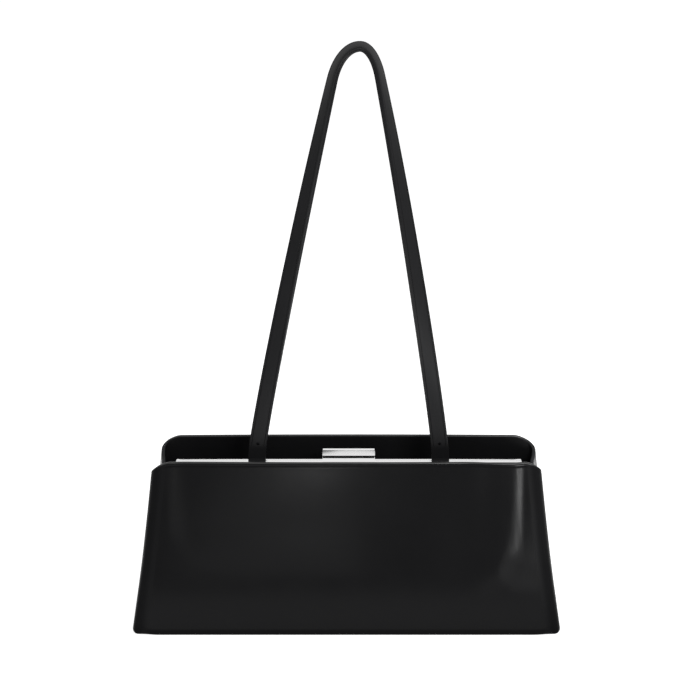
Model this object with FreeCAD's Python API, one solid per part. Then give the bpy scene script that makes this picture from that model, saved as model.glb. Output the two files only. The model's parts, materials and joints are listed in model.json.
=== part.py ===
import FreeCAD, Part
import math
import os

from FreeCAD import Vector

# Baguette bag, millimetres. X runs along the bag, -Y is its front and +Z is up.
# The origin is the centre of the foot, on the surface that the bag stands on.

# Outer body, measured on its outside faces
base_length = 301.5
base_depth = 76.0
lip_height = 126.0
end_taper = 17.2
face_taper = 9.0
fold_radius = 5.0
lip_corner_radius = 13.0
gusset_drop = 12.0
gusset_tuck = 4.0

# Sheets that the outer body is cut from
leather_thickness = 1.6
lining_thickness = 1.0
facing_height = 28.0
base_leather_thickness = 2.0
base_board_thickness = 2.0
base_lining_thickness = 0.8
board_clearance = 0.2
glue_gap = 0.1

# Framed pouch in the middle of the bag
pouch_depth = 18.0
pouch_wall_thickness = 1.2
pouch_end_thickness = 1.5
pouch_shoulder_drop = 18.0
pouch_wall_drop = 2.0
skirt_clearance = 0.5

# Two channel half-frames that close the pouch, hinged at the foot of their legs
frame_end_gap = 11.5
frame_recess = 9.3
frame_half_depth = 3.2
frame_bar_height = 5.5
frame_channel_wall = 0.7
frame_corner_radius = 1.5
frame_parting_gap = 0.2
frame_pivot_drop = 40.0
channel_clearance = 0.1
lug_radius = 4.0
lug_thickness = 1.2
lug_gap = 0.1
lug_root = 4.0
leg_clearance = 0.5
rivet_radius = 1.5
rivet_head_radius = 2.7
rivet_head_thickness = 1.0
running_clearance = 0.05

# Flip clasp: a lever hinged on the rear half that reaches over the front half
clasp_length = 36.7
clasp_lever_depth = 7.0
clasp_lever_height = 3.7
clasp_lever_radius = 0.7
clasp_lever_land = 3.2
clasp_lever_nose = 0.9
clasp_gap = 0.9
catch_thickness = 3.2
catch_land = 1.3
catch_nose = 0.2
catch_edge_radius = 0.4
clasp_base_thickness = 1.0
clasp_pin_radius = 0.6
clasp_pin_inset = 1.5
clasp_pin_rise = 1.4
knuckle_radius = 1.3
knuckle_width = 4.0
knuckle_spacing = 24.0
knuckle_clearance = 0.35
magnet_radius = 1.4
magnet_thickness = 0.9
magnet_offset = 1.4

# Shoulder strap and the loops that carry it on the front half-frame
strap_width = 11.6
strap_waist = 10.6
strap_waist_share = 0.5
strap_thickness = 3.4
strap_span = 128.0
strap_height = 410.0
strap_arch_rise = 36.0
strap_arch_left = 19.5
strap_arch_right = 14.7
strap_arch_offset = 7.5
strap_left_lean = 12.4
strap_right_lean = 10.5
strap_tab_height = 17.0
strap_flat = 2.0
strap_crown_twist = 80.0
strap_twist_power = 0.8
strap_foot_handle = 5.0
strap_arch_handle = 110.0
strap_arm_sections = 9
strap_arch_sections = 4
strap_eye_wall = 1.7
strap_loop_rise = 1.0
strap_frame_clearance = 0.4
loop_bar_radius = 1.2
loop_bar_clearance = 0.08
loop_ear_thickness = 1.5
loop_ear_radius = 2.0
loop_ear_gap = 0.4
loop_ear_drop = 4.5
strap_rivet_height = 14.6
strap_rivet_radius = 0.8
strap_rivet_head_radius = 1.1
strap_rivet_head_thickness = 0.4

# One overrun serves every cut
overrun = 5.0

# Places that follow from the sizes above
X_AXIS = Vector(1, 0, 0)
Y_AXIS = Vector(0, 1, 0)
lip_length = base_length - end_taper - end_taper
mouth_depth = base_depth - face_taper - face_taper
floor_height = base_leather_thickness + base_board_thickness + base_lining_thickness
gusset_top = lip_height - gusset_drop
facing_foot = lip_height - facing_height
side_lean = math.atan2(end_taper, lip_height)
frame_top = lip_height - frame_recess
pivot_height = frame_top - frame_pivot_drop
leg_foot = pivot_height + lug_radius + leg_clearance
frame_length = lip_length - frame_end_gap - frame_end_gap
frame_end = frame_length / 2
frame_window = frame_end - frame_bar_height
frame_inner = frame_parting_gap / 2
frame_outer = frame_inner + frame_half_depth
rear_lug_outer = frame_end - lug_thickness - lug_gap
rear_lug_inner = rear_lug_outer - lug_thickness
pouch_end_outer = rear_lug_inner - lug_gap
pouch_end_inner = pouch_end_outer - pouch_end_thickness
pouch_wall_top = pivot_height - pouch_wall_drop
pouch_shoulder = pivot_height - pouch_shoulder_drop
clasp_end = clasp_length / 2
catch_top = frame_top + catch_thickness
lever_foot = catch_top + clasp_gap
lever_top = lever_foot + clasp_lever_height
lever_edge = clasp_lever_depth / 2
clasp_pin_y = lever_edge - clasp_pin_inset
clasp_pin_z = lever_foot + clasp_pin_rise
strap_eye_radius = loop_bar_radius + loop_bar_clearance
strap_eye_outer = strap_eye_radius + strap_eye_wall
loop_y = -(frame_outer + strap_frame_clearance + strap_eye_outer)
loop_z = frame_top + strap_loop_rise
strap_tab_top = loop_z + strap_tab_height
strap_rivet_z = loop_z + strap_rivet_height


def span(first, second):
    return min(first, second), max(first, second)


def box(x, y, z):
    size = [high - low for low, high in (x, y, z)]
    return Part.makeBox(*size, Vector(x[0], y[0], z[0]))


def rod(radius, x, y, z):
    return Part.makeCylinder(radius, x[1] - x[0], Vector(x[0], y, z), X_AXIS)


def plate(points, along):
    return Part.Face(Part.makePolygon(points + points[:1])).extrude(along)


def mirrored(shape):
    return shape.mirror(Vector(), X_AXIS)


def both_ends(shape):
    return Part.makeCompound([shape, mirrored(shape)])


def tidy(shape):
    return shape.removeSplitter()


# Outer body


def half_length(z):
    return base_length / 2 - end_taper * z / lip_height


def half_depth(z):
    return base_depth / 2 - face_taper * z / lip_height


def seam_y(z):
    return half_depth(z) - fold_radius


def body_block(inset, bottom, top):
    """Slice of the body's tapered outside, drawn in by inset, with its upright edges rounded."""
    corners = [(-1, -overrun), (1, -overrun), (1, lip_height + overrun), (-1, lip_height + overrun)]
    along = [Vector(side * (half_length(z) - inset), -base_depth, z) for side, z in corners]
    across = [Vector(-base_length, side * (half_depth(z) - inset), z) for side, z in corners]
    block = plate(along, Y_AXIS * (base_depth + base_depth))
    block = block.common(plate(across, X_AXIS * (base_length + base_length)))
    upright = [edge for edge in block.Edges if edge.BoundBox.ZLength > lip_height]
    block = block.makeFillet(fold_radius - inset, upright)
    return block.common(box((-base_length, base_length), (-base_depth, base_depth), (bottom, top)))


def body_wall(inset, thickness, bottom, top):
    return body_block(inset, bottom, top).cut(body_block(inset + thickness, -overrun, lip_height + overrun))


def panel_zone(side):
    """Everything on the front (-1) or back (1) of the seams with the gussets."""
    low = -overrun
    high = lip_height + overrun
    section = [
        Vector(-base_length, side * seam_y(low), low),
        Vector(-base_length, side * base_depth, low),
        Vector(-base_length, side * base_depth, high),
        Vector(-base_length, side * seam_y(high), high),
    ]
    return plate(section, X_AXIS * (base_length + base_length))


def lip_corner_waste():
    """What is cut away above the rounded top corner of a lip, on the right."""
    centre_z = lip_height - lip_corner_radius
    centre = Vector(half_length(centre_z) - lip_corner_radius / math.cos(side_lean), -base_depth, centre_z)
    angles = [side_lean, (side_lean + math.pi / 2) / 2, math.pi / 2]
    arc = [centre + Vector(math.cos(a), 0, math.sin(a)) * lip_corner_radius for a in angles]
    above = lip_height + overrun
    rest = Part.makePolygon([
        arc[2],
        Vector(centre.x, centre.y, above),
        Vector(base_length, centre.y, above),
        Vector(base_length, centre.y, arc[0].z),
        arc[0],
    ])
    outline = Part.Wire([Part.Arc(*arc).toShape()] + rest.Edges)
    return Part.Face(outline).extrude(Y_AXIS * (base_depth + base_depth))


def lip_sheet(side, inset, thickness, bottom, top):
    """One front or back sheet with its upright folds and rounded lip corners."""
    sheet = body_wall(inset, thickness, bottom, top).common(panel_zone(side))
    waste = lip_corner_waste()
    return sheet.cut(waste).cut(mirrored(waste)).Solids[0]


def gusset_section(inset, thickness, z):
    tuck = gusset_tuck * z / gusset_top
    outer = half_length(z) - inset
    inner = outer - thickness
    edge = seam_y(z)
    points = [
        Vector(outer, -edge, z),
        Vector(outer - tuck, 0, z),
        Vector(outer, edge, z),
        Vector(inner, edge, z),
        Vector(inner - tuck, 0, z),
        Vector(inner, -edge, z),
    ]
    return Part.makePolygon(points + points[:1])


def gusset_sheet(inset, thickness, bottom):
    """End sheet on the right, folded inwards more and more towards its top edge."""
    sections = [gusset_section(inset, thickness, z) for z in (bottom, gusset_top)]
    return Part.makeLoft(sections, True, True)


def base_panel():
    return body_block(0, 0, base_leather_thickness)


def base_board():
    top = base_leather_thickness + base_board_thickness
    return body_block(leather_thickness + board_clearance, base_leather_thickness, top)


def base_lining():
    foot = base_leather_thickness + base_board_thickness
    return body_block(leather_thickness + board_clearance, foot, floor_height)


# Framed pouch


def pouch_wall(side):
    """Fixed wall that stands on the floor of the bag, up to the hinge."""
    outer = pouch_depth / 2
    y = span(side * outer, side * (outer - pouch_wall_thickness))
    return box((-pouch_end_inner, pouch_end_inner), y, (floor_height, pouch_wall_top))


def pouch_base():
    inner = pouch_depth / 2 - pouch_wall_thickness
    x = (-pouch_end_inner, pouch_end_inner)
    return box(x, (-inner, inner), (floor_height, floor_height + pouch_wall_thickness))


def pouch_end():
    """End of the pouch on the right, with a round head that the hinge rivet holds."""
    edge = pouch_depth / 2
    points = [
        Vector(pouch_end_inner, -lug_radius, pivot_height),
        Vector(pouch_end_inner, -edge, pouch_shoulder),
        Vector(pouch_end_inner, -edge, floor_height),
        Vector(pouch_end_inner, edge, floor_height),
        Vector(pouch_end_inner, edge, pouch_shoulder),
        Vector(pouch_end_inner, lug_radius, pivot_height),
    ]
    crown = Vector(pouch_end_inner, 0, pivot_height + lug_radius)
    head = Part.Arc(points[-1], crown, points[0]).toShape()
    outline = Part.Wire(Part.makePolygon(points).Edges + [head])
    sheet = Part.Face(outline).extrude(X_AXIS * pouch_end_thickness)
    hole = rod(rivet_radius + running_clearance, (0, frame_length), 0, pivot_height)
    return sheet.cut(hole)


def pouch_skirt(side):
    """Upper pouch wall: a hem in the channel of its half-frame, flaring out to the fixed wall."""
    gap = frame_channel_wall + channel_clearance
    hem_end = rear_lug_inner - channel_clearance
    bar_foot = frame_top - frame_bar_height
    hem_y = (frame_inner + gap, frame_outer - gap)
    y = span(side * hem_y[0], side * hem_y[1])
    hem = box((-hem_end, hem_end), y, (bar_foot, frame_top - gap))
    leg_hem = box((frame_window, hem_end), y, (leg_foot, bar_foot))
    outer = pouch_depth / 2
    outline = [
        (hem_y[0], bar_foot),
        (hem_y[1], bar_foot),
        (outer, leg_foot),
        (outer - pouch_wall_thickness, leg_foot),
    ]
    flare_end = frame_window - skirt_clearance
    section = [Vector(-flare_end, side * y, z) for y, z in outline]
    flare = plate(section, X_AXIS * (flare_end + flare_end))
    return tidy(hem.fuse([leg_hem, mirrored(leg_hem), flare]))


# Half-frames


def frame_lug(side):
    """Flat eye at the foot of the right leg; the front eyes lie outside the rear ones."""
    outer = frame_end if side < 0 else rear_lug_outer
    x = (outer - lug_thickness, outer)
    y = span(side * frame_inner, side * frame_outer)
    neck = box(x, y, (pivot_height, leg_foot + lug_root))
    eye = neck.fuse(rod(lug_radius, x, 0, pivot_height))
    return eye.cut(rod(rivet_radius + running_clearance, (0, frame_length), 0, pivot_height))


def half_frame(side):
    """Upside-down U with a channel all along its inner edge."""
    y = span(side * frame_inner, side * frame_outer)
    slot = span(side * (frame_inner + frame_channel_wall), side * (frame_outer - frame_channel_wall))
    below = leg_foot - overrun
    groove = frame_end - frame_channel_wall
    hoop = box((-frame_end, frame_end), y, (leg_foot, frame_top))
    corners = [
        edge for edge in hoop.Edges
        if edge.BoundBox.YLength > frame_half_depth / 2 and edge.CenterOfMass.z > frame_top - leg_clearance
    ]
    hoop = hoop.makeFillet(frame_corner_radius, corners)
    deep = (-frame_outer - overrun, frame_outer + overrun)
    hoop = hoop.cut(box((-frame_window, frame_window), deep, (below, frame_top - frame_bar_height)))
    hoop = hoop.cut(box((-groove, groove), slot, (below, frame_top - frame_channel_wall)))
    lug = frame_lug(side)
    return tidy(hoop.fuse([lug, mirrored(lug)]))


def frame_rivet():
    """Hinge rivet on the right, through both eyes and the end of the pouch."""
    outer = (frame_end, frame_end + rivet_head_thickness)
    inner = (pouch_end_inner - rivet_head_thickness, pouch_end_inner)
    shank = rod(rivet_radius, (inner[1], outer[0]), 0, pivot_height)
    heads = [rod(rivet_head_radius, x, 0, pivot_height) for x in (outer, inner)]
    return tidy(shank.fuse(heads))


# Clasp


def knuckle_places():
    half = knuckle_spacing / 2
    return [-half, half]


def knuckle_span(centre, extra):
    half = knuckle_width / 2 + extra
    return centre - half, centre + half


def clasp_base():
    """Plate on the rear half with two knuckles for the hinge pin."""
    plate_top = frame_top + clasp_base_thickness
    shape = box((-clasp_end, clasp_end), (frame_inner, frame_outer), (frame_top, plate_top))
    y = (clasp_pin_y - knuckle_radius, clasp_pin_y + knuckle_radius)
    for centre in knuckle_places():
        x = knuckle_span(centre, 0)
        post = box(x, y, (frame_top, clasp_pin_z))
        shape = shape.fuse([post, rod(knuckle_radius, x, clasp_pin_y, clasp_pin_z)])
    hole = rod(clasp_pin_radius + running_clearance, (-clasp_length, clasp_length), clasp_pin_y, clasp_pin_z)
    return tidy(shape.cut(hole))


def clasp_pin():
    half = knuckle_spacing / 2 + knuckle_width
    return rod(clasp_pin_radius, (-half, half), clasp_pin_y, clasp_pin_z)


def magnet(radius, top):
    foot = Vector(0, -magnet_offset, lever_foot)
    return Part.makeCylinder(radius, top - lever_foot, foot)


def clasp_lever():
    """Bar with a sloping front and rounded ends, hollowed from the back for the knuckles of its base."""
    section = [
        (-lever_edge, lever_foot),
        (-lever_edge, lever_foot + clasp_lever_nose),
        (lever_edge - clasp_lever_land, lever_top),
        (lever_edge, lever_top),
        (lever_edge, lever_foot),
    ]
    wedge = plate([Vector(-clasp_end, y, z) for y, z in section], X_AXIS * clasp_length)
    bar = box((-clasp_end, clasp_end), (-lever_edge, lever_edge), (lever_foot, lever_top))
    ends = [edge for edge in bar.Edges if edge.BoundBox.YLength > lever_edge]
    shape = wedge.common(bar.makeFillet(clasp_lever_radius, ends))
    reach = knuckle_radius + knuckle_clearance
    for centre in knuckle_places():
        x = knuckle_span(centre, knuckle_clearance)
        y = (clasp_pin_y - reach, lever_edge + overrun)
        shape = shape.cut(box(x, y, (frame_top, clasp_pin_z + reach)))
    half = knuckle_spacing / 2 + knuckle_width + channel_clearance
    shape = shape.cut(rod(clasp_pin_radius + running_clearance, (-half, half), clasp_pin_y, clasp_pin_z))
    return shape.cut(magnet(magnet_radius + running_clearance, lever_foot + magnet_thickness))


def clasp_magnet():
    return magnet(magnet_radius, lever_foot + magnet_thickness)


def clasp_catch():
    """Steel plate with a sloping front on the front half, which the magnet holds."""
    section = [
        (-frame_outer, frame_top),
        (-frame_outer, frame_top + catch_nose),
        (-frame_inner - catch_land, catch_top),
        (-frame_inner, catch_top),
        (-frame_inner, frame_top),
    ]
    shape = plate([Vector(-clasp_end, y, z) for y, z in section], X_AXIS * clasp_length)
    rim = [edge for edge in shape.Edges if edge.CenterOfMass.z > catch_top - catch_edge_radius]
    return shape.makeFillet(catch_edge_radius, rim)


# Shoulder strap


def strap_loop(side):
    """Staple on the front half-frame: two ears with a bar between them."""
    middle = side * strap_span / 2
    inner = strap_width / 2 + loop_ear_gap
    outer = inner + loop_ear_thickness
    section = [
        (-frame_outer, loop_z - strap_loop_rise),
        (-frame_outer, loop_z - strap_loop_rise - loop_ear_drop),
        (loop_y - loop_ear_radius, loop_z),
        (loop_y, loop_z + loop_ear_radius),
    ]
    shape = rod(loop_bar_radius, (middle - outer, middle + outer), loop_y, loop_z)
    for x in ((middle - outer, middle - inner), (middle + inner, middle + outer)):
        ear = plate([Vector(x[0], y, z) for y, z in section], X_AXIS * loop_ear_thickness)
        shape = shape.fuse([ear, rod(loop_ear_radius, x, loop_y, loop_z)])
    return tidy(shape)


def strap_section(place, heading, share, twist):
    """Band across the strap: it faces forwards at its ends and mostly outwards at the crown."""
    outward = Vector(-heading.z, 0, heading.x)
    face = outward * math.sin(twist) - Y_AXIS * math.cos(twist)
    across = outward * math.cos(twist) + Y_AXIS * math.sin(twist)
    width = strap_width + (strap_waist - strap_width) * min(share / strap_waist_share, 1)
    half_width = across * (width / 2)
    half_thickness = face * (strap_thickness / 2)
    corners = [
        place + half_width + half_thickness,
        place - half_width + half_thickness,
        place - half_width - half_thickness,
        place + half_width - half_thickness,
    ]
    return Part.makePolygon(corners + corners[:1])


def strap_half(side, half_arch, lean):
    """Places and headings on one side, from the end tab up its arm and over half of the arch."""
    centre = Vector(strap_arch_offset, loop_y, strap_height - strap_thickness / 2 - strap_arch_rise)
    first = math.atan2(math.tan(lean) * strap_arch_rise, half_arch)
    rest = math.pi / 2 - first
    turns = [first + rest * step / strap_arch_sections for step in range(strap_arch_sections + 1)]
    arch = [
        (centre + Vector(side * half_arch * math.cos(turn), 0, strap_arch_rise * math.sin(turn)),
         Vector(-side * half_arch * math.sin(turn), 0, strap_arch_rise * math.cos(turn)).normalize())
        for turn in turns
    ]
    foot = Vector(side * strap_span / 2, loop_y, strap_tab_top)
    shoulder, heading = arch[0]
    arm = Part.BezierCurve()
    arm.setPoles([
        foot,
        foot + Vector(0, 0, strap_foot_handle),
        shoulder - heading * strap_arch_handle,
        shoulder,
    ])
    shares = [step / strap_arm_sections for step in range(strap_arm_sections)]
    return [(arm.value(share), arm.tangent(share)[0]) for share in shares] + arch


def strap_band():
    """Band between the end tabs; it turns outwards up each arm and narrows towards the crown."""
    left = strap_half(-1, strap_arch_left, math.radians(strap_left_lean))
    right = strap_half(1, strap_arch_right, math.radians(strap_right_lean))
    crown = math.radians(strap_crown_twist)
    sections = []
    for side, stations in ((1, left), (-1, right)):
        walked = [0]
        for before, after in zip(stations, stations[1:]):
            walked.append(walked[-1] + (after[0] - before[0]).Length)
        half = []
        for (place, heading), way in zip(stations, walked):
            turned = max(way - strap_flat, 0) / (walked[-1] - strap_flat)
            twist = crown * turned ** strap_twist_power
            half.append(strap_section(place, heading * side, way / walked[-1], twist))
        sections.append(half)
    return Part.makeLoft(sections[0] + sections[1][-2::-1], True, True)


def shoulder_strap():
    """Whole strap: each end is folded round its loop bar and riveted to itself."""
    shape = strap_band()
    for side in (-1, 1):
        middle = side * strap_span / 2
        x = (middle - strap_width / 2, middle + strap_width / 2)
        y = (loop_y - strap_thickness / 2, loop_y + strap_thickness / 2)
        shape = shape.fuse([box(x, y, (loop_z, strap_tab_top)), rod(strap_eye_outer, x, loop_y, loop_z)])
        shape = shape.cut(rod(strap_eye_radius, x, loop_y, loop_z))
        through = (loop_y - strap_thickness, loop_y + strap_thickness)
        shape = shape.cut(strap_rod(strap_rivet_radius + running_clearance, middle, through))
    return tidy(shape)


def strap_rod(radius, x, y):
    """Round bar through the strap's thickness at the height of its rivets."""
    return Part.makeCylinder(radius, y[1] - y[0], Vector(x, y[0], strap_rivet_z), Y_AXIS)


def strap_rivet():
    """Small rivet on the right that closes the folded end."""
    x = strap_span / 2
    front = loop_y - strap_thickness / 2
    back = loop_y + strap_thickness / 2
    shank = strap_rod(strap_rivet_radius, x, (front, back))
    heads = [
        strap_rod(strap_rivet_head_radius, x, (front - strap_rivet_head_thickness, front)),
        strap_rod(strap_rivet_head_radius, x, (back, back + strap_rivet_head_thickness)),
    ]
    return tidy(shank.fuse(heads))


def pieces():
    gusset = gusset_sheet(0, leather_thickness, base_leather_thickness)
    gusset_lining = gusset_sheet(leather_thickness + glue_gap, lining_thickness - glue_gap, floor_height)
    end = pouch_end()
    return {
        "base_panel": base_panel(),
        "base_board": base_board(),
        "base_lining": base_lining(),
        "front_panel": lip_sheet(-1, 0, leather_thickness, base_leather_thickness, lip_height),
        "back_panel": lip_sheet(1, 0, leather_thickness, base_leather_thickness, lip_height),
        "left_gusset": mirrored(gusset),
        "right_gusset": gusset,
        "front_lining": lip_sheet(-1, leather_thickness, lining_thickness, floor_height, facing_foot),
        "back_lining": lip_sheet(1, leather_thickness, lining_thickness, floor_height, facing_foot),
        "left_gusset_lining": mirrored(gusset_lining),
        "right_gusset_lining": gusset_lining,
        "front_facing": lip_sheet(-1, leather_thickness, lining_thickness, facing_foot, lip_height),
        "back_facing": lip_sheet(1, leather_thickness, lining_thickness, facing_foot, lip_height),
        "pouch_front_wall": pouch_wall(-1),
        "pouch_rear_wall": pouch_wall(1),
        "pouch_base": pouch_base(),
        "pouch_left_end": mirrored(end),
        "pouch_right_end": end,
        "pouch_front_skirt": pouch_skirt(-1),
        "pouch_rear_skirt": pouch_skirt(1),
        "front_frame": half_frame(-1),
        "rear_frame": half_frame(1),
        "frame_rivets": both_ends(frame_rivet()),
        "clasp_base": clasp_base(),
        "clasp_pin": clasp_pin(),
        "clasp_lever": clasp_lever(),
        "clasp_magnet": clasp_magnet(),
        "clasp_catch": clasp_catch(),
        "left_strap_loop": strap_loop(-1),
        "right_strap_loop": strap_loop(1),
        "shoulder_strap": shoulder_strap(),
        "strap_rivets": both_ends(strap_rivet()),
    }


os.makedirs("parts", exist_ok=True)
for node, shape in pieces().items():
    shape.exportStep(f"parts/{node}.step")
    print(node, len(shape.Solids), shape.isValid(), round(shape.Volume, 1))
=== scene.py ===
import functools
import json
import math

import bpy
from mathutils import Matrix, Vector
from mathutils.geometry import interpolate_bezier


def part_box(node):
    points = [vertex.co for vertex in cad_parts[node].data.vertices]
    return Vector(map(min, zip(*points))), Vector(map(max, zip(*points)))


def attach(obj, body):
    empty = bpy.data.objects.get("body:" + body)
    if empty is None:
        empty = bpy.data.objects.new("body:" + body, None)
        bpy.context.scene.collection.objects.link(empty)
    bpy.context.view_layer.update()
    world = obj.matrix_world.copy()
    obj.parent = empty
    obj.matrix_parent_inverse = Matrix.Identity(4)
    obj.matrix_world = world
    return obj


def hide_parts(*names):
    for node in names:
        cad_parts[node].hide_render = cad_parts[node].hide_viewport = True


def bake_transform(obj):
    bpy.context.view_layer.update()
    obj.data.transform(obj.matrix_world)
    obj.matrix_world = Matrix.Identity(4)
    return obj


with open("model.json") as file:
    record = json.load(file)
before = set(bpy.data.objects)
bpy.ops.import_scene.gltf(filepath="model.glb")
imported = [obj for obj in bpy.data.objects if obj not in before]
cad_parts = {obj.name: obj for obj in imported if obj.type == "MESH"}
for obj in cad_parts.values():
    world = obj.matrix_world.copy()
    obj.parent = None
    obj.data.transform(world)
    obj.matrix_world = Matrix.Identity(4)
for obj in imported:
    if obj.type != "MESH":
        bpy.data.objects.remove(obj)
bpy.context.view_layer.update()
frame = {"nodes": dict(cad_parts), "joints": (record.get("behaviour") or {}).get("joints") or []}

bl_info = {
    "name": "Baguette bag",
    "version": (1, 0, 0),
    "blender": (4, 5, 0),
    "location": "View3D > Sidebar > Baguette bag",
    "description": "Dresses a framed baguette bag: leather body, linings, pouch, strap, metalwork and stage",
    "category": "Object",
}

# Boxes of the solids that the new pieces stand for
BASE_LOW, BASE_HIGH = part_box("base_panel")
BOARD_LOW, BOARD_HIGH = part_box("base_board")
FLOOR_LOW, FLOOR_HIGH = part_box("base_lining")
PANEL_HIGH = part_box("front_panel")[1]
FACING_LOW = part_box("front_facing")[0]
POUCH_LOW, POUCH_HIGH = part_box("pouch_front_wall")
POUCH_FLOOR_LOW, POUCH_FLOOR_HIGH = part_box("pouch_base")
END_LOW, END_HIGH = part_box("pouch_right_end")
SKIRT_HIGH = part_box("pouch_front_skirt")[1]
RIVET_LOW, RIVET_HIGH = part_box("strap_rivets")

# Middles of the frame's hinge and of the bars that carry the strap
PIVOTS = {joint["name"]: Vector(joint["pos_m"]) for joint in frame["joints"]}
HINGE = PIVOTS["front_half_opening"]
LOOP = PIVOTS["strap_swing"]


# Settings

def linear(code):
    """An sRGB hex value as linear red, green, blue and alpha."""
    parts = [int(code[at:at + 2], 16) / 255 for at in (1, 3, 5)]
    return [part / 12.92 if part <= 0.04045 else ((part + 0.055) / 1.055) ** 2.4 for part in parts] + [1.0]


def length(name, description, default):
    """A size in metres that a user can change."""
    return bpy.props.FloatProperty(
        name=name, description=description, default=default, precision=4, unit="LENGTH")


def colour(name, description, code):
    """A colour that a user can change."""
    return bpy.props.FloatVectorProperty(
        name=name, description=description, default=linear(code), size=4, min=0, max=1, subtype="COLOR")


def angle(name, description, degrees):
    """An angle that a user can change."""
    return bpy.props.FloatProperty(
        name=name, description=description, default=math.radians(degrees), subtype="ANGLE")


class BodySettings(bpy.types.PropertyGroup):
    """Sizes and colours of the leather body, its lining and the pouch."""

    base_length: length("Base length", "Length of the body at the ground", BASE_HIGH.x - BASE_LOW.x)
    base_depth: length("Base depth", "Depth of the body at the ground", BASE_HIGH.y - BASE_LOW.y)
    lip_height: length("Lip height", "Height of the two lips", PANEL_HIGH.z)
    end_taper: length("End taper", "How far each end leans in by the lips", 0.0172)
    end_hollow: length("End hollow", "How far the middle of each end's slope is hollowed", 0.0009)
    front_shift: length("Front shift", "How far the front hangs to the left of the mouth", 0.0017)
    back_narrow: length(
        "Back narrow", "How much less than the front the back reaches at each lip's end", 0.0013)
    face_taper: length("Face taper", "How far the front and the back lean in by the lips", 0.009)
    fold_radius: length("Fold radius", "Radius of the upright folds", 0.005)
    foot_radius: length("Foot radius", "Radius of the edge that turns under the base", 0.0024)
    foot_corner: length("Foot corner", "Radius of that edge at the four corners", 0.0044)
    wall: length("Wall", "Thickness of the leather with its facing", 0.0026)
    lip_corner: length("Lip corner", "Where a lip's edge starts to fall, from the lip's end", 0.013)
    corner_skew: length(
        "Corner skew", "How much later the front's right corner falls, and sooner the back's", 0.0015)
    corner_run: length("Corner run", "Length of edge over which a lip falls to the edge of the end", 0.027)
    gusset_drop: length("Gusset drop", "How far the ends stop below the lips", 0.012)
    gusset_tuck: length("Gusset tuck", "How far an end folds in at its top", 0.004)
    lip_bow: length("Lip bow", "How far the lips bow outwards in the middle", 0.0016)
    swell: length("Swell", "How far the pouch behind the front panel swells it", 0.0012)
    swell_reach: length("Swell reach", "Where the swell ends, from the middle", 0.119)
    swell_foot: length("Swell foot", "Height at which the pressed-in part starts", 0.040)
    swell_turn: length("Swell turn", "Height below which the swell's edge leans in", 0.067)
    swell_lean: bpy.props.FloatProperty(
        name="Swell lean", description="Slope of the swell's edge there", default=0.42)
    press_lean: bpy.props.FloatProperty(
        name="Press lean", description="Slope of the pressed-in part's lower left corner", default=1.6)
    press: length("Press", "How far the rest of the front panel is pressed in", 0.0009)
    swell_slope: length("Swell slope", "Width over which the swell rises towards its edge", 0.050)
    swell_edge: length("Swell edge", "Width over which the swell falls back at its edge", 0.009)
    bead_groove: length("Bead groove", "Depth of the groove under the turned edge of the lips", 0.00012)
    lining_foot: length("Lining foot", "Height of the floor inside", FLOOR_HIGH.z)
    lining_top: length("Lining top", "Height at which the lining meets the leather facing", FACING_LOW.z)
    lining_wall: length("Lining wall", "Thickness of the lining", 0.0006)
    pouch_wall: length("Pouch wall", "Thickness of the pouch's thin leather", 0.0012)
    pouch_shoulder: length(
        "Pouch shoulder", "How far below the hinge the pouch's ends start to narrow", 0.018)
    leather: colour("Leather", "Black of the polished leather", "#0a0a0b")
    # The grey of the ends' top edge is partly ink and partly a painted highlight: it is lighter than the
    # leather to stand in for the light falling on that edge
    cut_edge_highlight: colour("Cut edge", "Dark grey of the inked edge on top of the ends", "#2b2b2c")
    facing: colour("Facing", "Black of the unglazed facings inside the lips", "#0f0f10")
    pouch_leather: colour("Pouch leather", "Black of the thin pouch leather", "#1a191a")
    cloth: colour("Cloth", "Black of the lining's twill", "#151518")


class StrapSettings(bpy.types.PropertyGroup):
    """Sizes and colour of the shoulder strap, and sizes of its rivets."""

    width: length("Width", "Width of the strap at its ends", 0.0121)
    waist: length("Waist", "Width of the strap from the middle of its arms to the crown", 0.0106)
    thickness: length("Thickness", "Thickness of the two layers of the strap", 0.0034)
    span: length("Span", "Distance between the middles of the two ends", 0.128)
    crown: length("Crown", "Height of the strap's crown", 0.4087)
    arch_rise: length("Arch rise", "Height of the arch at the crown", 0.036)
    arch_left: length("Arch left", "Reach of the arch to the left of its crown", 0.0199)
    arch_right: length("Arch right", "Reach of the arch to the right of its crown", 0.0147)
    arch_offset: length("Arch offset", "How far the crown stands to the right", 0.0075)
    left_lean: angle("Left lean", "Slope of the left arm where it meets the arch", 13.1)
    right_lean: angle("Right lean", "Slope of the right arm where it meets the arch", 11.6)
    twist: angle("Twist", "How far the strap has turned at its crown", 74.0)
    flat: length("Flat", "Length above each end that doesn't turn", 0.006)
    end_slant: bpy.props.FloatProperty(
        name="End slant", description="Slope of the ends towards the middle", default=0.07)
    ear_height: length("Ear height", "Height above the loop's bar below which an end is upright", 0.0022)
    tab_height: length("Tab height", "Height of the straight ends above the loops", 0.0123)
    foot_handle: length("Foot handle", "How softly an arm leaves its end", 0.013)
    arch_handle: length("Arch handle", "How softly an arm meets the arch", 0.110)
    edge_radius: length("Edge radius", "Rounding of the painted edges", 0.0004)
    eye_radius: length("Eye radius", "Radius of the fold's middle line round the loop bar", 0.00213)
    rivet_radius: length("Rivet radius", "Radius of a rivet's head", 0.0011)
    rivet_rise: length("Rivet rise", "Height of a rivet's domed head", 0.0004)
    leather: colour("Leather", "Black of the strap's waxed leather", "#19191a")


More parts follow.
